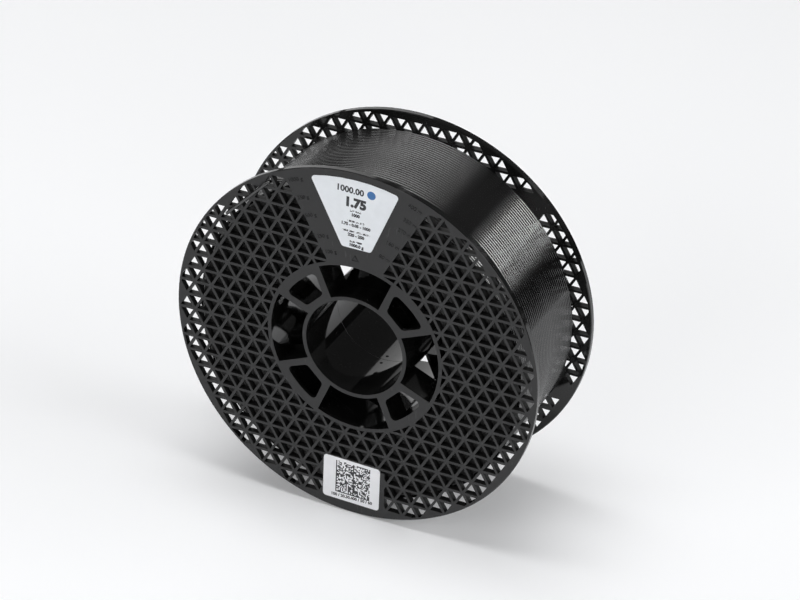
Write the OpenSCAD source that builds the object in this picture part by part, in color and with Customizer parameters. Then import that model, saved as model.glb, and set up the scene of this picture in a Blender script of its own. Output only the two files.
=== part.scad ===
// Filament spool: a two-piece moulded reel with a triangular lattice in both flanges, a round bore,
// a full winding of strand with its loose end parked in the front flange, and two adhesive labels.
// The reel's axis runs along Y, its front (labelled) flange faces -Y, and the origin lies on the
// axis at mid width. The reel stands on its two rims, so the floor is at z = -flange_d / 2.

/* [Reel] */
// Outside diameter of both flanges
flange_d = 200; // [192:1:210]
// Width over both flanges
reel_w = 70.6; // [64:0.2:80]
// Thickness of each flange
flange_t = 3.3; // [2.6:0.1:4]
// Chamfer on the flange edges
edge_c = 0.4; // [0.2:0.1:0.8]
// Solid band between the lattice and the rim's edge
rim_w = 1.4; // [1:0.1:3]

/* [Lattice] */
// Side of one triangle of the lattice, between the middles of its bars
cell_s = 9.5; // [9:0.1:12]
// Width of one lattice bar
bar_w = 1.4; // [1.2:0.1:2]

/* [Hub] */
// Diameter of the bore that a holder's shaft goes through
bore_d = 53.8; // [50:0.1:55]
// Wall of the tube around the bore
tube_t = 2; // [1.6:0.1:2.4]
// Outside diameter of the drum that the strand is wound on
drum_d = 97; // [94:0.5:102]
// Wall of the drum
drum_t = 1.9; // [1.6:0.1:2.4]
// Thickness of a spoke's face plate
spoke_plate = 2.1; // [1.6:0.1:3]
// Thickness of a spoke's side walls
spoke_wall = 1.6; // [1.2:0.1:2]
// Depth of a spoke's side walls from the outside face
spoke_depth = 17.4; // [10:0.1:24]

/* [Joint] */
// Length of the lap where the two halves meet
lap_l = 2.4; // [1.6:0.1:4]
// Clearance between spigot and rebate, on the radius and at the end
lap_fit = 0.1; // [0.05:0.01:0.2]

/* [Winding] */
// Diameter of the strand
strand_d = 1.75; // [1.6:0.01:1.8]
// Distance between two turns
turn_pitch = 1.8; // [1.8:0.01:1.85]
// Outside radius of the full winding
wound_r = 89.7; // [70:0.1:92]
// Extra gap after the fourth turn
turn_gap = 0.7; // [0:0.1:0.7]

/* [Labels] */
// Thickness of both labels
label_t = 0.2; // [0.1:0.05:0.3]
// Width of the square code label
code_w = 31.9; // [26:0.1:33]
// Height of the square code label
code_h = 25.4; // [20:0.1:26]

/* [Hidden] */
$fn = 180;

flange_r = flange_d / 2;
bore_r = bore_d / 2;
tube_r = bore_r + tube_t;
drum_r = drum_d / 2;
drum_in = drum_r - drum_t;
half_w = reel_w / 2;
face_in = half_w - flange_t;
strand_r = strand_d / 2;

// Lattice: rows of triangles, with the middle of one triangle on the axis
row_h = cell_s * sqrt(3) / 2;
hole_r = 2 * (row_h / 3 - bar_w / 2);
cut_r = flange_r - rim_w;
rim_open = cut_r - 3;
hub_open = drum_r + 2;
rows = ceil(flange_r / row_h) + 1;
cols = ceil(flange_r / cell_s) + 1;

// Closed places of the front flange: the wedge panel at the top and the pad for the code label
wedge_off = 4 * row_h / 3;
pad_x = 0.5;
pad_w = 35;
pad_top = 29.5 - flange_r;

// Closed places of the rear flange: two triangles of nine cells around these points of the lattice
patch_a = [6.5 * cell_s, 2 * row_h / 3 + 7 * row_h];
patch_b = [8.5 * cell_s, 2 * row_h / 3 - 5 * row_h];

// Spoke: a box that widens outwards, with a rounded window in its face plate
spoke_at = [45, 135, 225, 315];
spoke_slope = 0.4;
spoke_base = -2;
win_in = bore_r + 4.1;
win_out = drum_in - 3.1;
win_side = 4.2;
win_r = 2.3;

// Dimples that the moulding left in the bore, on both sides of the joint
dimple_d = 1.6;
dimple_deep = 0.5;
dimple_y = 3.5;

// Winding
wind_side = 0.17;
wind_in = drum_r + 0.1;
turn_r = wound_r - strand_r;
body_r = turn_r + 0.3;
gap_r = turn_r - 0.5;
low_r = turn_r - strand_r - 0.25;
first_y = -face_in + wind_side + strand_r;
gap_after = 4;
turns = floor((2 * (face_in - wind_side) - strand_d - turn_gap + 0.001) / turn_pitch) + 1;
last_y = first_y + turn_gap + (turns - 1) * turn_pitch;

// Loose end: the last turn lies beside the front flange, lifts off, comes out through one hole of
// the lattice, runs straight over the face and ends in another hole
out_pt = [-47.7, 82.5];
lift_a = atan2(out_pt[1], out_pt[0]) - acos(turn_r / norm(out_pt));
turn_from = lift_a - 346;
turn_rings = 47;
over_y = -half_w - strand_r - 0.08;
route = [
    [turn_r * cos(lift_a), first_y, turn_r * sin(lift_a)],
    [-38.5, first_y, 83.9],
    [-47.3, -33.0, 82.5],
    [-47.9, over_y, 82.9],
    [-70.6, over_y, 59.5],
    [-71.1, -half_w + 0.2, 58.7],
    [-71.2, -29.6, 58.4]
];
bend_in = 0.42;
bend_steps = 5;
strand_sides = 8;

// Wedge label: its centre line leans a little, its top edge follows the rim
wedge_label_pts = [
    [-7.2, 57.6, 1.8],
    [8.7, 57.6, 1.8],
    [23.6, 93.1, 1.8],
    [15.6, 94.8, 0],
    [7.8, 95.8, 0],
    [-0.2, 96.1, 0],
    [-8.6, 95.7, 0],
    [-16.8, 94.6, 0],
    [-24.7, 92.8, 1.8]
];
code_x = -0.6;
code_z = pad_top - 10.8;
code_turn = -1.25;
code_r = 1.8;

// Shapes

module slab(y0, y1) {
    translate([0, y1, 0]) rotate([90, 0, 0]) linear_extrude(height = y1 - y0) children();
}

module round_bar(r, y0, y1) {
    translate([0, y1, 0]) rotate([90, 0, 0]) cylinder(r = r, h = y1 - y0);
}

module pipe(r_in, r_out, y0, y1) {
    difference() {
        round_bar(r_out, y0, y1);
        round_bar(r_in, y0 - 1, y1 + 1);
    }
}

// Points of one rounded corner b between a and c, as [x, y] pairs
function unit(v) = v / norm(v);
function xy(p) = [p[0], p[1]];
function corner_pts(a, b, c, r, n) =
    r <= 0 ? [b] :
    let (
        u = unit(a - b),
        v = unit(c - b),
        half = acos(u * v) / 2,
        mid = b + unit(u + v) * r / sin(half),
        p = b + u * r / tan(half) - mid,
        q = b + v * r / tan(half) - mid,
        a0 = atan2(p[1], p[0]),
        turn = atan2(q[1], q[0]) - a0,
        sweep = turn > 180 ? turn - 360 : turn < -180 ? turn + 360 : turn
    )
    [for (i = [0 : n]) mid + r * [cos(a0 + sweep * i / n), sin(a0 + sweep * i / n)]];

function rounded(p, n) = [
    for (i = [0 : len(p) - 1])
        each corner_pts(
            xy(p[(i + len(p) - 1) % len(p)]), xy(p[i]), xy(p[(i + 1) % len(p)]), p[i][2], n)
];

// Cells of the lattice: [x, z, pointing up or down]
function tip(c, k) = [c[0], c[1]] + hole_r * [cos(c[2] + 120 * k), sin(c[2] + 120 * k)];
function near_r(c) = min(norm(tip(c, 0)), norm(tip(c, 1)), norm(tip(c, 2)));
function far_r(c) = max(norm(tip(c, 0)), norm(tip(c, 1)), norm(tip(c, 2)));
function in_wedge(c) = c[1] / 2 - abs(c[0]) * sqrt(3) / 2 > wedge_off;
function in_pad(c) = abs(c[0] - pad_x) < pad_w / 2 && c[1] < pad_top;
function side_of(c, at, a) = (c[0] - at[0]) * cos(a) + (c[1] - at[1]) * sin(a) < row_h;
function in_patch(c, at, a) = side_of(c, at, a) && side_of(c, at, a + 120) && side_of(c, at, a + 240);

all_cells = [
    for (j = [-rows : rows])
        for (m = [-cols : cols])
            for (up = [0, 1])
                let (
                    x = (j % 2 == 0 ? 0 : cell_s / 2) + m * cell_s,
                    z = 2 * row_h / 3 - j * row_h
                )
                up == 1 ? [x, z - 2 * row_h / 3, 90] : [x, z + 2 * row_h / 3, 270]
];
ring_cells = [for (c = all_cells) if (near_r(c) < rim_open && far_r(c) > hub_open) c];
front_cells = [for (c = ring_cells) if (!in_wedge(c) && !in_pad(c)) c];
rear_cells = [for (c = ring_cells) if (!in_patch(c, patch_a, 90) && !in_patch(c, patch_b, 270)) c];

module cell(c) {
    slab(-half_w - 1, -face_in + 1) polygon([tip(c, 0), tip(c, 1), tip(c, 2)]);
}

// Holes that lie wholly inside the lattice, and those that the rim, the drum or the pad cuts off
function is_whole(c, padded) =
    far_r(c) < cut_r - 0.05 && near_r(c) > drum_r + 0.05
    && !(padded && abs(c[0] - pad_x) < pad_w / 2 + cell_s && c[1] < pad_top + cell_s);

module whole_holes(cells, padded) {
    for (c = cells) {
        if (is_whole(c, padded)) cell(c);
    }
}

module cut_holes(cells, padded) {
    difference() {
        intersection() {
            union() {
                for (c = cells) {
                    if (!is_whole(c, padded)) cell(c);
                }
            }
            round_bar(cut_r, -half_w - 2, -face_in + 2);
        }
        round_bar(drum_r, -half_w - 3, -face_in + 3);
        if (padded)
            translate([pad_x - pad_w / 2, -half_w - 3, -flange_r])
                cube([pad_w, flange_t + 6, flange_r + pad_top]);
    }
}

module spoke_outline(side) {
    u0 = tube_r - 1.7;
    u1 = drum_r;
    w0 = spoke_base + spoke_slope * u0 - side;
    w1 = spoke_base + spoke_slope * u1 - side;
    polygon([[u0, -w0], [u1, -w1], [u1, w1], [u0, w0]]);
}

module window_outline() {
    w0 = spoke_base + spoke_slope * win_in - win_side;
    w1 = spoke_base + spoke_slope * win_out - win_side;
    a1 = asin(w1 / win_out) * 0.985;
    arc = [for (a = [-0.75 : 0.25 : 0.75]) [win_out * cos(a * a1), win_out * sin(a * a1), 0]];
    polygon(rounded(concat(
        [[win_in, -w0, win_r], [win_out * cos(a1), -win_out * sin(a1), win_r]],
        arc,
        [[win_out * cos(a1), win_out * sin(a1), win_r], [win_in, w0, win_r]]), 5));
}

module spoke() {
    intersection() {
        difference() {
            slab(-half_w, -half_w + spoke_depth) spoke_outline(0);
            slab(-half_w + spoke_plate, -half_w + spoke_depth + 1)
                spoke_outline(spoke_wall * sqrt(1 + spoke_slope * spoke_slope));
            slab(-half_w - 1, -half_w + spoke_plate + 1) window_outline();
        }
        round_bar(drum_r - drum_t / 2, -half_w - 2, 0);
    }
}

module flange_blank() {
    rotate([90, 0, 0]) rotate_extrude() polygon([
        [drum_in, face_in],
        [flange_r - edge_c, face_in],
        [flange_r, face_in + edge_c],
        [flange_r, half_w - edge_c],
        [flange_r - edge_c, half_w],
        [drum_in, half_w]
    ]);
}

module bore_dimples() {
    for (a = [0, 90, 180, 270]) {
        rotate([0, a, 0]) translate([bore_r - 1, -dimple_y, 0]) rotate([0, 90, 0])
            cylinder(d = dimple_d, h = 1 + dimple_deep, $fn = 24);
    }
}

// One half of the reel, drawn as the front one; spigot or rebate at the joint
module reel_half(cells, padded, spigot) {
    difference() {
        union() {
            flange_blank();
            pipe(drum_in, drum_r, -half_w, 0);
            pipe(bore_r, tube_r, -half_w, 0);
            for (a = spoke_at) {
                rotate([0, -a, 0]) spoke();
            }
            if (spigot) {
                pipe(drum_in, drum_in + drum_t / 2 - lap_fit / 2, -1, lap_l);
                pipe(bore_r + tube_t / 2 + lap_fit / 2, tube_r, -1, lap_l);
            }
        }
        whole_holes(cells, padded);
        cut_holes(cells, padded);
        bore_dimples();
        if (!spigot) {
            pipe(drum_in - 1, drum_in + drum_t / 2 + lap_fit / 2, -lap_l - lap_fit, 1);
            pipe(bore_r + tube_t / 2 - lap_fit / 2, tube_r + 1, -lap_l - lap_fit, 1);
        }
    }
}

module front_half() {
    color([0.2, 0.2, 0.21]) reel_half(front_cells, true, true);
}

module rear_half() {
    color([0.2, 0.2, 0.21]) mirror([0, 1, 0]) reel_half(rear_cells, false, false);
}

// Place of each turn in the outer layer
function turn_y(k) = first_y + k * turn_pitch + (k >= gap_after ? turn_gap : 0);

module filament_winding() {
    color([0.08, 0.08, 0.09]) rotate([90, 0, 0]) rotate_extrude() {
        polygon([
            [wind_in, -last_y - strand_r],
            [turn_r, -last_y - strand_r],
            [turn_r, -last_y],
            [body_r, -last_y],
            [body_r, -turn_y(gap_after)],
            [gap_r, -turn_y(gap_after) + turn_pitch / 2],
            [gap_r, -turn_y(gap_after - 1) - turn_pitch / 2],
            [body_r, -turn_y(gap_after - 1)],
            [body_r, -turn_y(1)],
            [low_r, -turn_y(1) + strand_r * 0.9],
            [low_r, -first_y + strand_r],
            [wind_in, -first_y + strand_r]
        ]);
        for (k = [1 : turns - 1]) {
            translate([turn_r, -turn_y(k)]) circle(r = strand_r, $fn = 12);
        }
    }
}

// Route of the last turn and the loose end, with each corner eased into a curve
function eased(a, b, c) = [
    for (i = [0 : bend_steps])
        let (
            t = i / bend_steps,
            p = b + (a - b) * bend_in,
            q = b + (c - b) * bend_in
        )
        (1 - t) * (1 - t) * p + 2 * t * (1 - t) * b + t * t * q
];
last_turn = [
    for (i = [0 : turn_rings])
        let (a = turn_from + (lift_a - turn_from) * i / turn_rings)
        [turn_r * cos(a), first_y, turn_r * sin(a)]
];
loose_part = [
    for (i = [1 : len(route) - 2])
        each eased(
            i == 1 ? route[0] : (route[i - 1] + route[i]) / 2,
            route[i],
            i == len(route) - 2 ? route[len(route) - 1] : (route[i] + route[i + 1]) / 2)
];
strand_path = concat(last_turn, loose_part, [route[len(route) - 1]]);

module strand(path, r, n) {
    last = len(path) - 1;
    along = [for (i = [0 : last]) unit(path[min(i + 1, last)] - path[max(i - 1, 0)])];
    side = [for (t = along) unit(cross(t, unit([0.3, 1, 0.2])))];
    rings = [
        for (i = [0 : last])
            for (k = [0 : n - 1])
                path[i] + r * (cos(360 * k / n) * side[i] + sin(360 * k / n) * cross(along[i], side[i]))
    ];
    walls = [
        for (i = [0 : last - 1])
            for (k = [0 : n - 1])
                for (f = [0, 1])
                    let (a = i * n + k, b = i * n + (k + 1) % n)
                    f == 0 ? [a, a + n, b] : [b, a + n, b + n]
    ];
    polyhedron(points = rings, faces = concat(
        walls,
        [[for (k = [0 : n - 1]) k]],
        [[for (k = [n - 1 : -1 : 0]) last * n + k]]));
}

module filament_end() {
    color([0.08, 0.08, 0.09]) strand(strand_path, strand_r, strand_sides);
}

module wedge_label() {
    color([0.88, 0.9, 0.92]) slab(-half_w - label_t, -half_w) polygon(rounded(wedge_label_pts, 5));
}

module code_label() {
    color([0.88, 0.9, 0.92]) translate([code_x, 0, code_z]) rotate([0, -code_turn, 0])
        slab(-half_w - label_t, -half_w) polygon(rounded([
            [-code_w / 2, -code_h / 2, code_r],
            [code_w / 2, -code_h / 2, code_r],
            [code_w / 2, code_h / 2, code_r],
            [-code_w / 2, code_h / 2, code_r]
        ], 5));
}

front_half();
rear_half();
filament_winding();
filament_end();
wedge_label();
code_label();
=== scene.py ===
import math

import bmesh
import bpy
from mathutils import Matrix, Vector


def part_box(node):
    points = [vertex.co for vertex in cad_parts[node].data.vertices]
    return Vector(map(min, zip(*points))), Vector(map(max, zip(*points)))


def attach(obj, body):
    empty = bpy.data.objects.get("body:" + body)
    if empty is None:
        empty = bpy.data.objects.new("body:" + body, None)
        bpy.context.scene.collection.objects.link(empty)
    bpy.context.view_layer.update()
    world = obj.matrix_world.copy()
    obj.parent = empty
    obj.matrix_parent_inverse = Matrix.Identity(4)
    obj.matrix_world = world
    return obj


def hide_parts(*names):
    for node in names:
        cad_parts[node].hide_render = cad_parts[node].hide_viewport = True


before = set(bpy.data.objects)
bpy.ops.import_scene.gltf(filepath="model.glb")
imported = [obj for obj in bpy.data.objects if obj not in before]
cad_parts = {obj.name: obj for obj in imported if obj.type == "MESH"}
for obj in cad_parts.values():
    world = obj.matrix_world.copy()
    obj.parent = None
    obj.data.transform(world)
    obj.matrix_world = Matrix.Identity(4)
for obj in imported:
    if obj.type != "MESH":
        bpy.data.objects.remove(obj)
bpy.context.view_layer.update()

mm = 0.001
print("stage: frame loaded", sorted(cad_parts))

frontLow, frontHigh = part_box("front_half")
frontFace = frontLow[1]                     # outside face of the front flange
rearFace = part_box("rear_half")[1][1]
rimRadius = frontHigh[0]


# small helpers for objects and node trees

def addObject(name, data):
    made = bpy.data.objects.new(name, data)
    bpy.context.scene.collection.objects.link(made)
    return made


def finishBuild(build, name, material):
    # what was built, with its faces turned outwards, as an object of its own
    bmesh.ops.recalc_face_normals(build, faces=build.faces)
    mesh = bpy.data.meshes.new(name)
    build.to_mesh(mesh)
    build.free()
    mesh.materials.append(material)
    return addObject(name, mesh)


def addNode(tree, kind, inputs=None, **settings):
    made = tree.nodes.new(kind)
    for key, value in settings.items():
        setattr(made, key, value)
    for key, value in (inputs or {}).items():
        socket = made.inputs[key]
        if isinstance(value, bpy.types.NodeSocket):
            tree.links.new(value, socket)
        else:
            socket.default_value = value
    return made


def mathNode(tree, operation, a, b=None, c=None, clamp=False):
    inputs = {place: value for place, value in enumerate((a, b, c)) if value is not None}
    return addNode(tree, "ShaderNodeMath", inputs, operation=operation, use_clamp=clamp).outputs[0]


def rampNode(tree, value, low, high, outLow=0.0, outHigh=1.0, smooth=True):
    return addNode(tree, "ShaderNodeMapRange",
                   {"Value": value, "From Min": low, "From Max": high,
                    "To Min": outLow, "To Max": outHigh},
                   interpolation_type="SMOOTHSTEP" if smooth else "LINEAR").outputs[0]


def mixColour(tree, factor, a, b):
    return addNode(tree, "ShaderNodeMix", {0: factor, 6: a, 7: b}, data_type="RGBA").outputs[2]


def scaleColour(tree, colour, scale):
    return addNode(tree, "ShaderNodeVectorMath", {0: colour[:3], "Scale": scale},
                   operation="SCALE").outputs[0]


def bumpNode(tree, height, strength, distance, **under):
    return addNode(tree, "ShaderNodeBump", {"Height": height, "Strength": strength,
                                            "Distance": distance, **under}).outputs[0]


def splitNode(tree, vector):
    return addNode(tree, "ShaderNodeSeparateXYZ", {0: vector}).outputs


def chanceNode(tree, *parts):
    # a fixed random value for each set of three whole numbers
    spot = addNode(tree, "ShaderNodeCombineXYZ", dict(enumerate(parts)))
    return addNode(tree, "ShaderNodeTexWhiteNoise", {0: spot.outputs[0]},
                   noise_dimensions="3D").outputs["Value"]


def isNumber(tree, value, number):
    # 1 where a whole-numbered value is this number
    return mathNode(tree, "COMPARE", value, number, 0.4)


def newGroup(name, kind, inputs, outputs):
    group = bpy.data.node_groups.new(name, kind)
    for label, socketKind, value in inputs:
        socket = group.interface.new_socket(name=label, in_out="INPUT", socket_type=socketKind)
        if value is not None:
            socket.default_value = value
    for label, socketKind in outputs:
        group.interface.new_socket(name=label, in_out="OUTPUT", socket_type=socketKind)
    given = group.nodes.new("NodeGroupInput").outputs
    result = group.nodes.new("NodeGroupOutput").inputs
    return group, given, result


def useGroup(tree, group, inputs):
    return addNode(tree, "ShaderNodeGroup", inputs, node_tree=group).outputs


def newMaterial(name, settings):
    made = bpy.data.materials.new(name)
    made.use_nodes = True
    tree = made.node_tree
    shader = tree.nodes["Principled BSDF"].inputs
    for key, value in settings.items():
        shader[key].default_value = value
    place = addNode(tree, "ShaderNodeTexCoord").outputs["Object"]
    return made, tree, shader, place


# effects that several materials share

def makeGrainGroup():
    # fine texture of a moulded or printed surface: a bump and a slow change of tone
    group, given, result = newGroup(
        "fineGrain", "ShaderNodeTree",
        [("Place", "NodeSocketVector", None), ("Grain Scale", "NodeSocketFloat", 2600.0),
         ("Cloud Scale", "NodeSocketFloat", 55.0)],
        [("Grain", "NodeSocketFloat"), ("Cloud", "NodeSocketFloat")])
    for label, detail, roughness in (("Grain", 2.0, 0.6), ("Cloud", 3.0, 0.55)):
        noise = addNode(group, "ShaderNodeTexNoise",
                        {"Vector": given["Place"], "Scale": given[label + " Scale"],
                         "Detail": detail, "Roughness": roughness})
        group.links.new(noise.outputs[0], result[label])
    return group


scuffs = {
    "lean": 0.6,                     # radians from upright
    "stretch": 0.16,                 # scale along a scratch, so it comes out six times as long
    "lineScale": 900.0,
    "lineRange": (0.62, 0.72),
    "patchScale": 90.0,
    "patchRange": (0.48, 0.62),
}


def makeScuffGroup():
    # short fine scratches in patches
    group, given, result = newGroup(
        "fineScuffs", "ShaderNodeTree",
        [("Place", "NodeSocketVector", None), ("Amount", "NodeSocketFloat", 0.5)],
        [("Scuff", "NodeSocketFloat")])
    stretched = addNode(group, "ShaderNodeMapping",
                        {"Vector": given["Place"], "Rotation": (0.0, scuffs["lean"], 0.0),
                         "Scale": (1.0, 1.0, scuffs["stretch"])})
    lines = addNode(group, "ShaderNodeTexNoise",
                    {"Vector": stretched.outputs[0], "Scale": scuffs["lineScale"],
                     "Detail": 2.0, "Roughness": 0.5})
    patches = addNode(group, "ShaderNodeTexNoise",
                      {"Vector": given["Place"], "Scale": scuffs["patchScale"], "Detail": 1.0})
    thin = rampNode(group, lines.outputs[0], *scuffs["lineRange"])
    some = rampNode(group, patches.outputs[0], *scuffs["patchRange"])
    both = mathNode(group, "MULTIPLY", thin, some)
    group.links.new(mathNode(group, "MULTIPLY", both, given["Amount"], clamp=True), result["Scuff"])
    return group


def makeRadiusGroup():
    # distance from the reel's axis, and along it from mid width
    group, given, result = newGroup(
        "reelPlace", "ShaderNodeTree", [("Place", "NodeSocketVector", None)],
        [("Radius", "NodeSocketFloat"), ("Half Way", "NodeSocketFloat")])
    x, y, z = splitNode(group, given["Place"])
    squares = mathNode(group, "ADD", mathNode(group, "MULTIPLY", x, x),
                       mathNode(group, "MULTIPLY", z, z))
    group.links.new(mathNode(group, "SQRT", squares), result["Radius"])
    group.links.new(mathNode(group, "ABSOLUTE", y), result["Half Way"])
    return group


grainGroup = makeGrainGroup()
scuffGroup = makeScuffGroup()
placeGroup = makeRadiusGroup()
cloudRange = (0.3, 0.7)              # the part of the cloud's values that a tone follows


# reel plastic: matte grain on the outside faces, polished black everywhere else

reelFinish = {
    "faceColour": (0.013, 0.013, 0.0135, 1.0),
    "wallColour": (0.013, 0.013, 0.0128, 1.0),
    "polishedColour": (0.0065, 0.0065, 0.0064, 1.0),
    "seamColour": (0.06, 0.06, 0.06, 1.0),
    "seamShare": 0.7,
    "wornColour": (0.11, 0.11, 0.112, 1.0),
    "faceRoughness": 0.5,
    "polishedRoughness": 0.05,
    "wornRougher": 0.25,
    "seamRougher": 0.4,
    "cloudTone": (0.9, 1.12),
    "cloudRoughness": (-0.01, 0.03),
    "scuffAmount": 0.25,
    "rimRubRange": (0.5, 0.7),
    "rimRub": 0.35,
    "grainStrength": 0.35,
    "grainHeight": 0.00003,
    "seamGroove": -3.0,              # in heights of the grain
    "waveScale": 38.0,
    "waveStrength": 0.12,
    "waveHeight": 0.00012,
    "shine": {"Specular IOR Level": 0.5, "IOR": 1.5},
    "markShine": {"Specular IOR Level": 0.28, "IOR": 1.5},
    "markRoughness": (0.25, 0.35),
}

# where the finish changes, in millimetres
reelZones = {
    "flangeDeep": 3.3,
    "faceSkin": (-0.25, -0.08),      # from the outside face
    "rimEdge": (-0.9, -0.1),         # from the rim's radius
    "flangeInside": (0.02, 0.1),     # from the flange's inner face
    "latticeRadii": (48.7, 98.4),
    "seam": (0.05, 0.16),            # from mid width
}


def zoneRamp(tree, value, start, zone, *levels):
    low, high = (start + step * mm for step in reelZones[zone])
    return rampNode(tree, value, low, high, *levels)


def makeReelMaterial():
    s = reelFinish
    made, tree, shader, place = newMaterial("reelPlastic", s["shine"])
    radius, half = useGroup(tree, placeGroup, {"Place": place})
    grain, cloud = useGroup(tree, grainGroup, {"Place": place})

    # outside faces of both flanges
    face = zoneRamp(tree, half, rearFace, "faceSkin")
    tone = rampNode(tree, cloud, *cloudRange, *s["cloudTone"], smooth=False)
    faceColour = scaleColour(tree, s["faceColour"], tone)

    # rubbed rim: the outer edge is a little lighter and rougher in places
    rim = zoneRamp(tree, radius, rimRadius, "rimEdge")
    rimRub = mathNode(tree, "MULTIPLY", rim, rampNode(
        tree, cloud, *s["rimRubRange"], 0.0, s["rimRub"]))
    scuff = useGroup(tree, scuffGroup, {"Place": place, "Amount": s["scuffAmount"]})[0]
    wear = mathNode(tree, "MAXIMUM", rimRub, scuff)

    # walls of the lattice's holes: the face's matte finish and colour, lighter than the polished
    # parts
    inFlange = zoneRamp(tree, half, rearFace - reelZones["flangeDeep"] * mm, "flangeInside")
    latticeLow, latticeHigh = reelZones["latticeRadii"]
    inLattice = mathNode(tree, "MULTIPLY", mathNode(tree, "GREATER_THAN", radius, latticeLow * mm),
                         mathNode(tree, "LESS_THAN", radius, latticeHigh * mm))
    wall = mathNode(tree, "MULTIPLY", inFlange, inLattice)
    # seam where the two halves meet, seen in the bore and inside the hub
    seam = zoneRamp(tree, half, 0.0, "seam", 1.0, 0.0)

    dull = mixColour(tree, wall, s["polishedColour"], s["wallColour"])
    pale = mathNode(tree, "MULTIPLY", seam, s["seamShare"])
    joined = mixColour(tree, pale, dull, s["seamColour"])
    base = mixColour(tree, face, joined, faceColour)
    tree.links.new(mixColour(tree, wear, base, s["wornColour"]), shader["Base Color"])

    matte = mathNode(tree, "MAXIMUM", face, wall)
    rough = mathNode(tree, "MULTIPLY_ADD", matte, s["faceRoughness"] - s["polishedRoughness"],
                     s["polishedRoughness"])
    speckle = rampNode(tree, cloud, *cloudRange, *s["cloudRoughness"], smooth=False)
    rough = mathNode(tree, "ADD", rough, speckle)
    rough = mathNode(tree, "MULTIPLY_ADD", wear, s["wornRougher"], rough)
    rough = mathNode(tree, "MULTIPLY_ADD", seam, s["seamRougher"], rough, clamp=True)
    tree.links.new(rough, shader["Roughness"])

    # grain on the faces, slow sink waves on the polished walls, a groove at the seam
    wave = addNode(tree, "ShaderNodeTexNoise",
                   {"Vector": place, "Scale": s["waveScale"], "Detail": 1.0}).outputs[0]
    waves = bumpNode(tree, wave, s["waveStrength"], s["waveHeight"])
    grooved = mathNode(tree, "MULTIPLY_ADD", seam, s["seamGroove"],
                       mathNode(tree, "MULTIPLY", grain, face))
    bump = bumpNode(tree, grooved, s["grainStrength"], s["grainHeight"], Normal=waves)
    tree.links.new(bump, shader["Normal"])
    return made


def makeMarkMaterial():
    # raised figures keep the polish of the mould, so they look darker than the matte panel
    s = reelFinish
    made, tree, shader, place = newMaterial("markPlastic", s["markShine"])
    cloud = useGroup(tree, grainGroup, {"Place": place})["Cloud"]
    tone = rampNode(tree, cloud, *cloudRange)
    tree.links.new(mixColour(tree, tone, s["polishedColour"], s["faceColour"]),
                   shader["Base Color"])
    tree.links.new(rampNode(tree, cloud, *cloudRange, *s["markRoughness"]), shader["Roughness"])
    return made


# strand: glossy black with faint draw marks along it

strandFinish = {
    "colour": (0.006, 0.006, 0.006, 1.0),
    "dusty": (0.012, 0.012, 0.0122, 1.0),
    "dustRange": (0.55, 0.8),
    "dustShare": 0.3,
    "roughness": 0.05,
    "roughnessSpread": (-0.01, 0.015),
    "specular": 1.0,
    "grainScales": {"Grain Scale": 1800.0, "Cloud Scale": 120.0},
    "grainStrength": 0.02,
    "grainHeight": 0.00002,
}
# the layers under the outer one, seen only from the sides, are rougher and have a lighter colour
# than the strand: painted light that lifts the shade seen through the lattice's holes
paintedLightSideFinish = {"colour": (0.036, 0.036, 0.0355, 1.0), "roughness": 0.35, "specular": 0.3}


def makeStrandMaterial(name, **changes):
    s = {**strandFinish, **changes}
    made, tree, shader, place = newMaterial(name, {"Specular IOR Level": s["specular"], "IOR": 1.5})
    grain, cloud = useGroup(tree, grainGroup, {"Place": place, **s["grainScales"]})
    dust = rampNode(tree, cloud, *s["dustRange"], 0.0, s["dustShare"])
    tree.links.new(mixColour(tree, dust, s["colour"], s["dusty"]), shader["Base Color"])
    smoothest, roughest = (s["roughness"] + step for step in s["roughnessSpread"])
    tree.links.new(rampNode(tree, cloud, *cloudRange, smoothest, roughest, smooth=False),
                   shader["Roughness"])
    tree.links.new(bumpNode(tree, grain, s["grainStrength"], s["grainHeight"]), shader["Normal"])
    return made


# label stock, with its generic print as marks on the surface

labelStock = {
    "paper": (0.885, 0.918, 0.955, 1.0),
    "plainPaper": (0.915, 0.92, 0.945, 1.0),
    "black": (0.018, 0.018, 0.022, 1.0),
    "thinBlack": (0.04, 0.04, 0.045, 1.0),
    "blue": (0.035, 0.16, 0.42, 1.0),
    "shine": {"Specular IOR Level": 0.45, "Coat Weight": 0.25, "Coat Roughness": 0.25},
    "roughness": 0.38,
    "inkSmoother": 0.08,
    "fibreScales": {"Grain Scale": 1500.0, "Cloud Scale": 200.0},
    "fibreTone": (0.97, 1.02),
    "fibreStrength": 0.1,
    "fibreHeight": 0.00002,
    "inkScales": {"Grain Scale": 1500.0, "Cloud Scale": 900.0},
    "inkWornRange": (0.55, 0.8),
    "inkWornShare": 0.2,
    "inkRougher": 0.1,
}


def newLabel(name, paperColour):
    # a label's material, its sheet of paper as a colour, and the fibre that its surface follows
    s = labelStock
    made, tree, shader, place = newMaterial(name, s["shine"])
    fibre, cloud = useGroup(tree, grainGroup, {"Place": place, **s["fibreScales"]})
    shade = rampNode(tree, cloud, *cloudRange, *s["fibreTone"], smooth=False)
    tree.links.new(bumpNode(tree, fibre, s["fibreStrength"], s["fibreHeight"]), shader["Normal"])
    return made, tree, shader, place, scaleColour(tree, paperColour, shade)


def printLabel(tree, shader, paper, ink):
    s = labelStock
    tree.links.new(mixColour(tree, ink, paper, s["black"]), shader["Base Color"])
    tree.links.new(mathNode(tree, "MULTIPLY_ADD", ink, -s["inkSmoother"], s["roughness"]),
                   shader["Roughness"])


captions = {
    # middle x, middle z, half width, in millimetres
    "rows": [
        (0.1, 78.6, 3.0),
        (0.3, 72.8, 4.6),
        (0.5, 67.1, 7.6),
        (0.7, 61.4, 3.6),
    ],
    "halfHeight": 0.5,
    "strokeWidth": 0.62,
    "strokeRows": 3,                 # pieces one above the other that a stroke may be made of
    "blankShare": 0.36,              # of the pieces
    "wordLength": 6.0,               # strokes, the last of them blank
}


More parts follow.
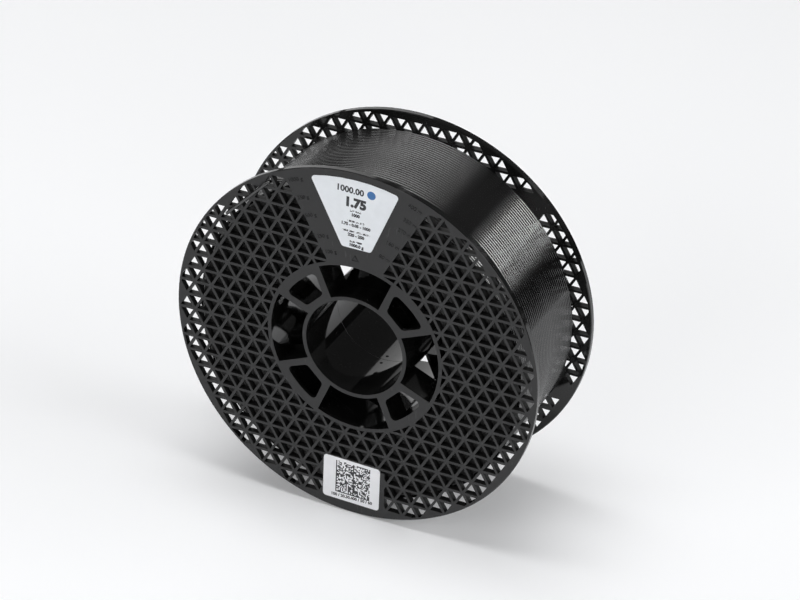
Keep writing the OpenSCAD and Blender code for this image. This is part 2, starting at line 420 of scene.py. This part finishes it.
def makeCaptionGroup():
    # a line of print too small to read: narrow strokes of random height, broken into words
    group, given, result = newGroup(
        "printCaption", "ShaderNodeTree",
        [("Place", "NodeSocketVector", None), ("Middle X", "NodeSocketFloat", 0.0),
         ("Middle Z", "NodeSocketFloat", 0.0), ("Half Width", "NodeSocketFloat", 0.005),
         ("Half Height", "NodeSocketFloat", 0.0005), ("Stroke Width", "NodeSocketFloat", 0.0008)],
        [("Ink", "NodeSocketFloat")])
    x, y, z = splitNode(group, given["Place"])
    dx = mathNode(group, "SUBTRACT", x, given["Middle X"])
    dz = mathNode(group, "SUBTRACT", z, given["Middle Z"])
    inX = mathNode(group, "LESS_THAN", mathNode(group, "ABSOLUTE", dx), given["Half Width"])
    inZ = mathNode(group, "LESS_THAN", mathNode(group, "ABSOLUTE", dz), given["Half Height"])
    column = mathNode(group, "FLOOR", mathNode(group, "DIVIDE", dx, given["Stroke Width"]))
    rowHeight = mathNode(group, "MULTIPLY", given["Half Height"], 2 / captions["strokeRows"])
    row = mathNode(group, "FLOOR", mathNode(group, "DIVIDE", dz, rowHeight))
    chance = chanceNode(group, column, given["Middle Z"], row)
    stroke = mathNode(group, "GREATER_THAN", chance, captions["blankShare"])
    ink = mathNode(group, "MULTIPLY", mathNode(group, "MULTIPLY", inX, inZ), stroke)
    wordPlace = mathNode(group, "FLOORED_MODULO", column, captions["wordLength"])
    shown = mathNode(group, "SUBTRACT", 1.0, isNumber(group, wordPlace, captions["wordLength"] - 1))
    group.links.new(mathNode(group, "MULTIPLY", ink, shown), result["Ink"])
    return group


captionGroup = makeCaptionGroup()
colourDot = {"middle": (8.6, 89.9), "radius": 2.3}


def makeWedgeLabelMaterial():
    made, tree, shader, place, paper = newLabel("wedgeLabelPaper", labelStock["paper"])
    ink = 0.0
    for x, z, halfWidth in captions["rows"]:
        line = useGroup(tree, captionGroup,
                        {"Place": place, "Middle X": x * mm, "Middle Z": z * mm,
                         "Half Width": halfWidth * mm, "Half Height": captions["halfHeight"] * mm,
                         "Stroke Width": captions["strokeWidth"] * mm})[0]
        ink = mathNode(tree, "MAXIMUM", ink, line)
    dotX, dotZ = colourDot["middle"]
    fromDot = addNode(tree, "ShaderNodeVectorMath",
                      {0: place, 1: (dotX * mm, 0.0, dotZ * mm)}, operation="SUBTRACT")
    radius = useGroup(tree, placeGroup, {"Place": fromDot.outputs[0]})["Radius"]
    dot = mathNode(tree, "LESS_THAN", radius, colourDot["radius"] * mm)
    printLabel(tree, shader, mixColour(tree, dot, paper, labelStock["blue"]), ink)
    return made


codePrint = {
    "middle": (-0.6, -81.3),
    "turnDegrees": -1.25,
    "cells": 30,
    "low": (-8.9, -8.4),             # corner of the square of cells, from the label's middle
    "square": 19.4,
    "seed": 4.0,
    "paleShare": 0.47,
}


def makeCodeLabelMaterial():
    # a square of random cells with two full edges and a full column, which says nothing
    p = codePrint
    made, tree, shader, place, paper = newLabel("codeLabelPaper", labelStock["plainPaper"])
    middleX, middleZ = p["middle"]
    own = addNode(tree, "ShaderNodeMapping",
                  {"Vector": place, "Location": (-middleX * mm, 0.0, -middleZ * mm)})
    turned = addNode(tree, "ShaderNodeVectorRotate",
                     {"Vector": own.outputs[0], "Axis": (0.0, 1.0, 0.0),
                      "Angle": math.radians(p["turnDegrees"])})
    x, y, z = splitNode(tree, turned.outputs[0])
    cell = p["square"] / p["cells"] * mm
    column, row = (
        mathNode(tree, "FLOOR", mathNode(
            tree, "DIVIDE", mathNode(tree, "SUBTRACT", value, low * mm), cell))
        for value, low in ((x, p["low"][0]), (z, p["low"][1])))
    dark = mathNode(tree, "GREATER_THAN", chanceNode(tree, column, row, p["seed"]), p["paleShare"])
    half = p["cells"] / 2
    inside = mathNode(tree, "MULTIPLY", *(
        mathNode(tree, "COMPARE", mathNode(tree, "ADD", line, 0.5), half, half)
        for line in (column, row)))
    for line, full in ((column, 0.0), (row, 0.0), (column, half)):
        dark = mathNode(tree, "MAXIMUM", dark, isNumber(tree, line, full))
    printLabel(tree, shader, paper, mathNode(tree, "MULTIPLY", inside, dark))
    return made


def makeInkMaterial():
    s = labelStock
    made, tree, shader, place = newMaterial("labelInk", s["shine"])
    fibre, cloud = useGroup(tree, grainGroup, {"Place": place, **s["inkScales"]})
    worn = rampNode(tree, cloud, *s["inkWornRange"], 0.0, s["inkWornShare"])
    tree.links.new(mixColour(tree, worn, s["black"], s["thinBlack"]), shader["Base Color"])
    tree.links.new(mathNode(tree, "MULTIPLY_ADD", fibre, s["inkRougher"],
                            s["roughness"] - s["inkRougher"]), shader["Roughness"])
    return made


inkMaterial = makeInkMaterial()
markMaterial = makeMarkMaterial()
reelMaterial = makeReelMaterial()
strandMaterial = makeStrandMaterial("strandPlastic")
# the hidden layers' sides: a lighter copy of the strand's material, painted light in the lattice's
# holes
paintedLightSideMaterial = makeStrandMaterial("strandSidesPaintedLight", **paintedLightSideFinish)
wedgeLabelMaterial = makeWedgeLabelMaterial()
codeLabelMaterial = makeCodeLabelMaterial()
print("stage: materials made")


# CAD nodes that keep their shape

def dress(nodeName, material):
    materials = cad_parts[nodeName].data.materials
    materials.clear()
    materials.append(material)


dress("front_half", reelMaterial)
dress("rear_half", reelMaterial)
dress("wedge_label", wedgeLabelMaterial)
dress("code_label", codeLabelMaterial)


# numbers: raised ones on the wedge panel, printed ones on the labels

panelMarks = {
    "proud": 0.16,
    # text, middle x, middle z, height of a figure; each stands square to its radius
    "rows": [
        ("1000 g", -33.0, 88.0, 2.2),
        ("750 g", -28.7, 79.0, 2.1),
        ("500 g", -24.5, 70.0, 2.1),
        ("250 g", -17.8, 60.0, 2.1),
        ("100 g", -13.4, 52.2, 2.1),
        ("400 m", 32.0, 88.5, 2.2),
        ("350 m", 29.4, 80.0, 2.1),
        ("270 m", 26.6, 73.6, 2.1),
        ("160 m", 20.3, 65.0, 2.1),
        ("80 m", 16.0, 56.5, 2.1),
    ],
    "triangle": (0.0, 51.6, 2.3, 1.35),             # middle x, middle z, outer and inner radius
}

wedgeNumbers = {
    "lean": -1.9,
    # text, middle x, middle z, height of a figure, extra weight
    "rows": [
        ("1000.00", -3.0, 90.0, 3.3, 0.05),
        ("1.75", 0.0, 83.1, 4.8, 0.09),
        ("1000", 0.1, 76.4, 1.6, 0.1),
        ("1.75 - 0.05 - 1000", 0.3, 70.6, 1.55, 0.09),
        ("220 - 250", 0.5, 64.9, 1.6, 0.1),
        ("1000.0 g", 0.7, 59.3, 1.6, 0.1),
    ],
}

codeNumbers = {
    "lean": 1.25,
    "rows": [("100 / 20.30.400 / 50 / 60", -0.4, -91.2, 1.65, 0.07)],
}

figures = {
    "sizeToHeight": 0.7,             # height of a figure as a share of the font's size
    "curveSteps": 3,
    "inkDeep": 0.03,
    "merge": 0.002,                  # points nearer than this become one
}


def addFigures(build, text, x, z, height, lean, front, deep, weight=0.0):
    # one row of figures, standing in the XZ plane and facing the front
    data = bpy.data.curves.new("row", "FONT")
    data.body = text
    data.size = height * mm / figures["sizeToHeight"]
    data.extrude = deep * mm / 2
    data.offset = weight * height * mm
    data.resolution_u = figures["curveSteps"]
    data.align_x, data.align_y = "CENTER", "CENTER"
    holder = addObject("row", data)
    bpy.context.view_layer.update()
    mesh = bpy.data.meshes.new_from_object(
        holder.evaluated_get(bpy.context.evaluated_depsgraph_get()))
    mesh.transform(Matrix.Translation((x * mm, front, z * mm))
                   @ Matrix.Rotation(-math.radians(lean), 4, "Y")
                   @ Matrix.Rotation(math.pi / 2, 4, "X"))
    build.from_mesh(mesh)
    bpy.data.objects.remove(holder)
    bpy.data.meshes.remove(mesh)


def addTriangle(build, x, z, outer, inner, proud):
    # a triangular band, as deep behind the panel's face as it stands proud of it
    rings = []
    for y in (frontFace + proud * mm, frontFace - proud * mm):
        for r in (outer, inner):
            corners = ((x + r * math.sin(a), z + r * math.cos(a))
                       for a in (0.0, 2 * math.pi / 3, 4 * math.pi / 3))
            rings.append([build.verts.new((px * mm, y, pz * mm)) for px, pz in corners])
    for first, second in ((0, 1), (1, 3), (3, 2), (2, 0)):
        for k in range(3):
            m = (k + 1) % 3
            build.faces.new((rings[first][k], rings[first][m], rings[second][m], rings[second][k]))


def finishFigures(build, name, material):
    bmesh.ops.remove_doubles(build, verts=build.verts, dist=figures["merge"] * mm)
    made = finishBuild(build, name, material)
    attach(made, "root")


def makePanelMarks():
    p = panelMarks
    build = bmesh.new()
    for text, x, z, height in p["rows"]:
        lean = math.degrees(math.atan2(-x, z))
        addFigures(build, text, x, z, height, lean, frontFace, 2 * p["proud"])
    addTriangle(build, *p["triangle"], p["proud"])
    finishFigures(build, "panelMarks", markMaterial)


def makeLabelInk(name, nodeName, numbers):
    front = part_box(nodeName)[0][1]
    build = bmesh.new()
    for text, x, z, height, weight in numbers["rows"]:
        addFigures(build, text, x, z, height, numbers["lean"], front, figures["inkDeep"], weight)
    finishFigures(build, name, inkMaterial)


makePanelMarks()
makeLabelInk("wedgeLabelInk", "wedge_label", wedgeNumbers)
makeLabelInk("codeLabelInk", "code_label", codeNumbers)
print("stage: numbers")


# strand shapes grown by geometry nodes

def growMesh(name, tree, values, startMesh=None):
    # the tree's result as a plain mesh on an object of its own
    holder = addObject(name + "Source", startMesh or bpy.data.meshes.new(name + "Start"))
    modifier = holder.modifiers.new("grow", "NODES")
    modifier.node_group = tree
    for item in tree.interface.items_tree:
        if item.item_type == "SOCKET" and item.in_out == "INPUT" and item.name in values:
            modifier[item.identifier] = values[item.name]
    bpy.context.view_layer.update()
    graph = bpy.context.evaluated_depsgraph_get()
    mesh = bpy.data.meshes.new_from_object(holder.evaluated_get(graph))
    mesh.name = name
    mesh.materials.clear()
    mesh.materials.append(values["Material"])
    bpy.data.objects.remove(holder)
    return addObject(name, mesh)


strandInputs = [
    ("Strand Radius", "NodeSocketFloat", 0.000875),
    ("Sides", "NodeSocketInt", 10),
    ("Material", "NodeSocketMaterial", None),
]


def sweepStrand(tree, curve, given, result):
    # a round strand along the curve, closed at both ends
    profile = addNode(tree, "GeometryNodeCurvePrimitiveCircle",
                      {"Resolution": given["Sides"], "Radius": given["Strand Radius"]})
    swept = addNode(tree, "GeometryNodeCurveToMesh",
                    {"Curve": curve, "Profile Curve": profile.outputs[0], "Fill Caps": True})
    smooth = addNode(tree, "GeometryNodeSetShadeSmooth", {0: swept.outputs[0]})
    real = addNode(tree, "GeometryNodeRealizeInstances", {0: smooth.outputs[0]})
    finish = addNode(tree, "GeometryNodeSetMaterial",
                     {"Geometry": real.outputs[0], "Material": given["Material"]})
    tree.links.new(finish.outputs[0], result[0])


# the winding: one long strand laid turn beside turn, with the turns under it

winding = {
    "outerRadius": 89.7,
    "strandRadius": 0.875,
    "firstY": -30.955,
    "pitch": 1.8,
    "turns": 34.0,
    "endShort": 0.02,                # turns left off, so that the last ring isn't the first again
    "gapTurn": 3.0,
    "gap": 0.7,
    "gapEase": 0.12,                 # turns over which the strand moves across the gap, each way
    "startAngle": 99.0,
    "ringsPerTurn": 132,
    "sides": 10,
    "sway": 0.07,
    "swayScale": 1.6,
    "swayPerTurn": 0.55,             # how far the noise moves on with each turn
    "swayAside": 0.5,                # share of the sway that also goes sideways
    "sinkDeep": 2.2,
    "sinkTurns": 0.12,
    "seed": 7.0,
}
turnRadius = winding["outerRadius"] - winding["strandRadius"]


def makeTurnsTree():
    w = winding
    tree, given, result = newGroup(
        "woundStrand", "GeometryNodeTree",
        [("Turn Radius", "NodeSocketFloat", 0.0888), ("First Y", "NodeSocketFloat", -0.031),
         ("Pitch", "NodeSocketFloat", 0.0018), ("Turns", "NodeSocketFloat", 34.0),
         ("Gap Turn", "NodeSocketFloat", 3.0), ("Gap", "NodeSocketFloat", 0.0007),
         ("Start Angle", "NodeSocketFloat", 1.73), ("Rings Per Turn", "NodeSocketInt", 132),
         ("Sway", "NodeSocketFloat", 0.00007), ("Seed", "NodeSocketFloat", 7.0)] + strandInputs,
        [("Geometry", "NodeSocketGeometry")])
    count = mathNode(tree, "MULTIPLY_ADD", given["Turns"], given["Rings Per Turn"], 1.0)
    line = addNode(tree, "GeometryNodeMeshLine", {"Count": count}, mode="OFFSET")
    index = addNode(tree, "GeometryNodeInputIndex").outputs[0]
    turn = mathNode(tree, "DIVIDE", index, given["Rings Per Turn"])
    # the strand runs backwards round the axis, so that its first ring meets the loose end
    turned = mathNode(tree, "MULTIPLY", turn, 2 * math.pi)
    angle = mathNode(tree, "SUBTRACT", given["Start Angle"], turned)
    across, up = mathNode(tree, "COSINE", angle), mathNode(tree, "SINE", angle)
    noisePlace = addNode(tree, "ShaderNodeCombineXYZ", {
        0: across, 1: mathNode(tree, "MULTIPLY", turn, w["swayPerTurn"]), 2: up}).outputs[0]
    noise = addNode(tree, "ShaderNodeTexNoise",
                    {"Vector": noisePlace, "W": given["Seed"], "Scale": w["swayScale"],
                     "Detail": 1.0}, noise_dimensions="4D").outputs[0]
    sway = mathNode(tree, "MULTIPLY", mathNode(tree, "SUBTRACT", noise, 0.5), given["Sway"])
    # settle to nothing at both ends, and sink the last stretch into the layer below
    left = mathNode(tree, "SUBTRACT", given["Turns"], turn)
    calm = mathNode(tree, "MINIMUM", mathNode(tree, "MINIMUM", turn, left), 1.0)
    swayCalm = mathNode(tree, "MULTIPLY", sway, calm)
    sink = rampNode(tree, left, 0.0, w["sinkTurns"], w["sinkDeep"] * mm, 0.0, smooth=False)
    swayed = mathNode(tree, "ADD", given["Turn Radius"], swayCalm)
    radius = mathNode(tree, "SUBTRACT", swayed, sink)
    fromGap = mathNode(tree, "SUBTRACT", turn, given["Gap Turn"])
    step = rampNode(tree, fromGap, -w["gapEase"], w["gapEase"])
    y = mathNode(tree, "MULTIPLY_ADD", turn, given["Pitch"], given["First Y"])
    y = mathNode(tree, "MULTIPLY_ADD", step, given["Gap"], y)
    y = mathNode(tree, "MULTIPLY_ADD", swayCalm, w["swayAside"], y)
    spot = addNode(tree, "ShaderNodeCombineXYZ", {
        0: mathNode(tree, "MULTIPLY", radius, across), 1: y,
        2: mathNode(tree, "MULTIPLY", radius, up)})
    placed = addNode(tree, "GeometryNodeSetPosition",
                     {"Geometry": line.outputs[0], "Position": spot.outputs[0]})
    curve = addNode(tree, "GeometryNodeMeshToCurve", {0: placed.outputs[0]})
    upright = addNode(tree, "GeometryNodeSetCurveNormal", {0: curve.outputs[0]})
    sweepStrand(tree, upright.outputs[0], given, result)
    return tree


# the loose end's own last turn comes first, so the winding starts one turn further in
turnsPiece = growMesh("woundTurns", makeTurnsTree(), {
    "Turn Radius": turnRadius * mm, "Strand Radius": winding["strandRadius"] * mm,
    "First Y": (winding["firstY"] + winding["pitch"]) * mm, "Pitch": winding["pitch"] * mm,
    "Turns": winding["turns"] - winding["endShort"], "Gap Turn": winding["gapTurn"],
    "Gap": winding["gap"] * mm, "Start Angle": math.radians(winding["startAngle"]),
    "Rings Per Turn": winding["ringsPerTurn"], "Sides": winding["sides"],
    "Sway": winding["sway"] * mm, "Seed": winding["seed"], "Material": strandMaterial})
print("stage: winding", len(turnsPiece.data.polygons), "faces")

core = {
    "innerRadius": 48.62,
    "layerStep": 1.56,
    "drop": 1.36,                    # from the outer turns' radius to the first layer below
    "front": -31.23,
    "rear": 31.23,
    "topBumps": 35,
    "topHeight": 0.55,
    "sideHeight": 0.6,
    "bumpSteps": 4,
    "around": 120,
}


def bumpRow(start, stop, count, height):
    # points of a row of round bumps between two (radius, y) places, standing to the left of the way
    run = Vector(stop) - Vector(start)
    side = Vector((-run.y, run.x)).normalized() * height
    steps = core["bumpSteps"]
    points = []
    for k in range(count):
        for n in range(steps):
            t = n / steps
            points.append(Vector(start) + run * (k + t) / count + side * math.sin(math.pi * t))
    return points


def makeCore():
    # closed ring round the Y axis from a closed profile of (radius, y), with a bump for each turn
    c = core
    layerRadius = turnRadius - c["drop"]
    layers = int((layerRadius - c["innerRadius"]) / c["layerStep"])
    rearFoot, rearTop = (c["innerRadius"], c["rear"]), (layerRadius, c["rear"])
    frontFoot, frontTop = (c["innerRadius"], c["front"]), (layerRadius, c["front"])
    profile = (bumpRow(rearFoot, rearTop, layers, c["sideHeight"])
               + bumpRow(rearTop, frontTop, c["topBumps"], c["topHeight"])
               + bumpRow(frontTop, frontFoot, layers, c["sideHeight"]))
    build = bmesh.new()
    rings = []
    for k in range(c["around"]):
        a = 2 * math.pi * k / c["around"]
        rings.append([build.verts.new((r * mm * math.cos(a), y * mm, r * mm * math.sin(a)))
                      for r, y in profile])
    for k, here in enumerate(rings):
        there = rings[(k + 1) % len(rings)]
        for n in range(len(profile)):
            m = (n + 1) % len(profile)
            build.faces.new((here[n], here[m], there[m], there[n]))
    made = finishBuild(build, "woundCore", paintedLightSideMaterial)
    for face in made.data.polygons:
        face.use_smooth = True
    return made


corePiece = makeCore()
print("stage: core", len(corePiece.data.polygons), "faces")


# the last turn and the loose end

looseEnd = {
    "points": [                      # after the strand lifts off the winding, in millimetres
        (-38.5, -30.955, 83.9),
        (-47.3, -33.0, 82.5),
        (-47.9, -36.255, 82.9),
        (-70.6, -36.255, 59.5),
        (-71.1, -35.1, 58.7),
        (-71.2, -29.6, 58.4),
    ],
    "ease": 0.42,                    # share of each straight that the bend at its end takes up
    "easeSteps": 8,
    "sides": 14,
}


def loosePath():
    s, w = looseEnd, winding
    lift = math.radians(w["startAngle"])
    path = []
    for k in range(w["ringsPerTurn"] + 1):
        toGo = 1 - k / w["ringsPerTurn"]              # turns still to go
        a = lift - 2 * math.pi * toGo
        y = w["firstY"] + w["pitch"] * toGo
        path.append(Vector((turnRadius * math.cos(a), y, turnRadius * math.sin(a))))
    route = [path[-1]] + [Vector(p) for p in s["points"]]
    for n in range(1, len(route) - 1):
        here = route[n]
        before = route[0] if n == 1 else (route[n - 1] + here) / 2
        after = route[-1] if n == len(route) - 2 else (here + route[n + 1]) / 2
        p = here + (before - here) * s["ease"]
        q = here + (after - here) * s["ease"]
        for k in range(s["easeSteps"] + 1):
            t = k / s["easeSteps"]
            path.append(p * (1 - t) ** 2 + here * 2 * t * (1 - t) + q * t * t)
    path.append(route[-1])
    return path


def makeSweepTree():
    tree, given, result = newGroup(
        "sweptStrand", "GeometryNodeTree",
        [("Geometry", "NodeSocketGeometry", None)] + strandInputs,
        [("Geometry", "NodeSocketGeometry")])
    curve = addNode(tree, "GeometryNodeMeshToCurve", {0: given["Geometry"]})
    sweepStrand(tree, curve.outputs[0], given, result)
    return tree


def makeLooseEnd():
    path = loosePath()
    mesh = bpy.data.meshes.new("looseRoute")
    mesh.from_pydata([p * mm for p in path], [(n, n + 1) for n in range(len(path) - 1)], [])
    return growMesh("looseStrand", makeSweepTree(), {
        "Strand Radius": winding["strandRadius"] * mm, "Sides": looseEnd["sides"],
        "Material": strandMaterial}, startMesh=mesh)


loosePiece = makeLooseEnd()
print("stage: loose end", len(loosePiece.data.polygons), "faces")

for piece, nodeName in ((turnsPiece, "filament_winding"), (corePiece, "filament_winding"),
                        (loosePiece, "filament_end")):
    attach(piece, "root")
    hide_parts(nodeName)


# camera

cameraSettings = {
    "aim": (0.005, 0.00681, 0.00654),
    "distance": 1.76014,
    "azimuth": 25.28,                # degrees, from straight in front towards the right
    "elevation": 31.608,
    "roll": 1.105,
    "lens": 156.33,
    "sensor": 36.0,
    "farthest": 50.0,
}


def makeCamera():
    c = cameraSettings
    data = bpy.data.cameras.new("studioCamera")
    data.lens = c["lens"]
    data.sensor_width = c["sensor"]
    data.sensor_fit = "HORIZONTAL"
    data.clip_end = c["farthest"]
    made = addObject("studioCamera", data)
    turn = (Matrix.Rotation(math.radians(c["azimuth"]), 4, "Z")
            @ Matrix.Rotation(math.radians(90.0 - c["elevation"]), 4, "X")
            @ Matrix.Rotation(math.radians(c["roll"]), 4, "Z"))
    made.matrix_world = Matrix.Translation(c["aim"]) @ turn @ Matrix.Translation(
        (0.0, 0.0, c["distance"]))
    bpy.context.scene.camera = made


makeCamera()


# floor and flag

floorSettings = {
    "size": 40.0,
    "below": 0.00005,                # under the rims
    "colour": (0.91, 0.916, 0.93, 1.0),
    "glow": 0.095,
    "farGlow": 0.8,
    "farRange": (1.2, 2.8),          # metres from the reel over which the glow becomes the far one
    "glowColour": (0.985, 0.99, 1.0, 1.0),
    "roughness": 0.75,
    "specular": 0.2,
}


def stageSheet(name, corners, material):
    mesh = bpy.data.meshes.new(name)
    mesh.from_pydata(corners, [], [(0, 1, 2, 3)])
    mesh.materials.append(material)
    made = addObject(name, mesh)
    return made


def makeFloor():
    s = floorSettings
    half = s["size"] / 2
    z = -rimRadius - s["below"]
    material, tree, shader, place = newMaterial(
        "studioFloor", {"Base Color": s["colour"], "Roughness": s["roughness"],
                        "Specular IOR Level": s["specular"], "Emission Color": s["glowColour"]})
    ray = addNode(tree, "ShaderNodeLightPath").outputs
    seen = mathNode(tree, "MAXIMUM", ray["Is Camera Ray"], mathNode(
        tree, "MAXIMUM", ray["Is Glossy Ray"], ray["Is Transmission Ray"]))
    away = addNode(tree, "ShaderNodeVectorMath", {0: place}, operation="LENGTH").outputs["Value"]
    glow = rampNode(tree, away, *s["farRange"], s["glow"], s["farGlow"])
    tree.links.new(mathNode(tree, "MULTIPLY", seen, glow), shader["Emission Strength"])
    corners = [(-half, -half, z), (half, -half, z), (half, half, z), (-half, half, z)]
    stageSheet("studioFloor", corners, material)


flagSettings = {
    "x": 0.75,
    "high": 0.16,
    "from": -1.2,
    "to": 2.2,
    "finish": {"Base Color": (0.02, 0.02, 0.02, 1.0), "Roughness": 0.9, "Specular IOR Level": 0.1},
}


def makeFlag():
    # black card low on the right: only reflections see it, as a dark band on the strand
    s = flagSettings
    x, low, high, near, far = s["x"], -rimRadius, s["high"], s["from"], s["to"]
    corners = [(x, near, low), (x, near, high), (x, far, high), (x, far, low)]
    made = stageSheet("studioFlag", corners, newMaterial("studioFlag", s["finish"])[0])
    made.visible_camera = False
    made.visible_diffuse = False
    made.visible_shadow = False


makeFloor()
makeFlag()


# lamps and world

studioScale = 1.6                  # for the places and the sizes of all panels
lampAway = 1.35
lamps = {
    # degrees up from +X about the reel's axis, size across, share of it that fades to the edges,
    # middle in Y, length along Y, radiance
    "rightStrip": (32.5, 1.0, 0.5, -0.17, 0.3, 15.8),
    "rightPanel": (36.0, 0.5, 0.3, 0.1, 1.1, 4.4),
    "overheadPanel": (97.0, 1.75, 0.9, 0.0, 0.6, 6.1),
    "leftPanel": (162.0, 0.45, 0.3, 0.1, 1.5, 1.0),
}
glossyOnly = ("rightStrip",)       # gives the glints on the strand, and no second shadow
fills = {
    # middle, direction that the panel faces, width, height, radiance
    "frontFill": ((-0.45, -1.35, 0.75), (0.3, 0.93, -0.5), 1.3, 0.5, 3.0),
    "rightFill": ((0.9, -1.3, 0.3), (-0.6, 0.85, -0.2), 0.7, 0.5, 2.7),
    "backFill": ((-0.93, 1.27, 0.6), (0.6, -0.77, -0.35), 0.9, 1.0, 1.1),
}
ambient = 0.1


def fadeLamp(tree, soft):
    # the panel is brightest along its middle and fades towards its two long edges
    spot = addNode(tree, "ShaderNodeNewGeometry").outputs["Parametric"]
    across = splitNode(tree, spot)[1]
    edge = mathNode(tree, "ABSOLUTE", mathNode(tree, "MULTIPLY_ADD", across, 2.0, -1.0))
    tree.links.new(rampNode(tree, edge, 1.0 - soft, 1.0, 1.0, 0.0),
                   tree.nodes["Emission"].inputs["Strength"])


def placeLamp(name, middle, facing, wide, high, radiance, soft=0.0):
    data = bpy.data.lights.new(name, "AREA")
    data.shape = "RECTANGLE"
    data.size = wide * studioScale
    data.size_y = high * studioScale
    data.energy = radiance * math.pi * data.size * data.size_y
    if soft > 0.0:
        data.use_nodes = True
        fadeLamp(data.node_tree, soft)
    made = addObject(name, data)
    back = -Vector(facing).normalized()
    alongReel = Vector((0.0, 1.0, 0.0))
    level = alongReel if facing[1] == 0.0 else back.cross((0.0, 0.0, 1.0))
    run = (level - back * back.dot(level)).normalized()
    axes = Matrix((run, back.cross(run), back)).transposed()
    made.matrix_world = Matrix.Translation(Vector(middle) * studioScale) @ axes.to_4x4()
    made.visible_diffuse = name not in glossyOnly


def makeLamps():
    for name, (degrees, across, soft, middleY, along, radiance) in lamps.items():
        a = math.radians(degrees)
        x, z = lampAway * math.cos(a), lampAway * math.sin(a)
        placeLamp(name, (x, middleY, z), (-x, 0.0, -z), along, across, radiance, soft)
    for name, settings in fills.items():
        placeLamp(name, *settings)


def makeWorld():
    world = bpy.data.worlds.new("studioWorld")
    bpy.context.scene.world = world
    world.use_nodes = True
    background = world.node_tree.nodes["Background"].inputs
    background["Color"].default_value = (1.0, 1.0, 1.0, 1.0)
    background["Strength"].default_value = ambient


makeLamps()
makeWorld()
bpy.context.scene.view_settings.view_transform = "Standard"
print("stage: camera and lamps placed")
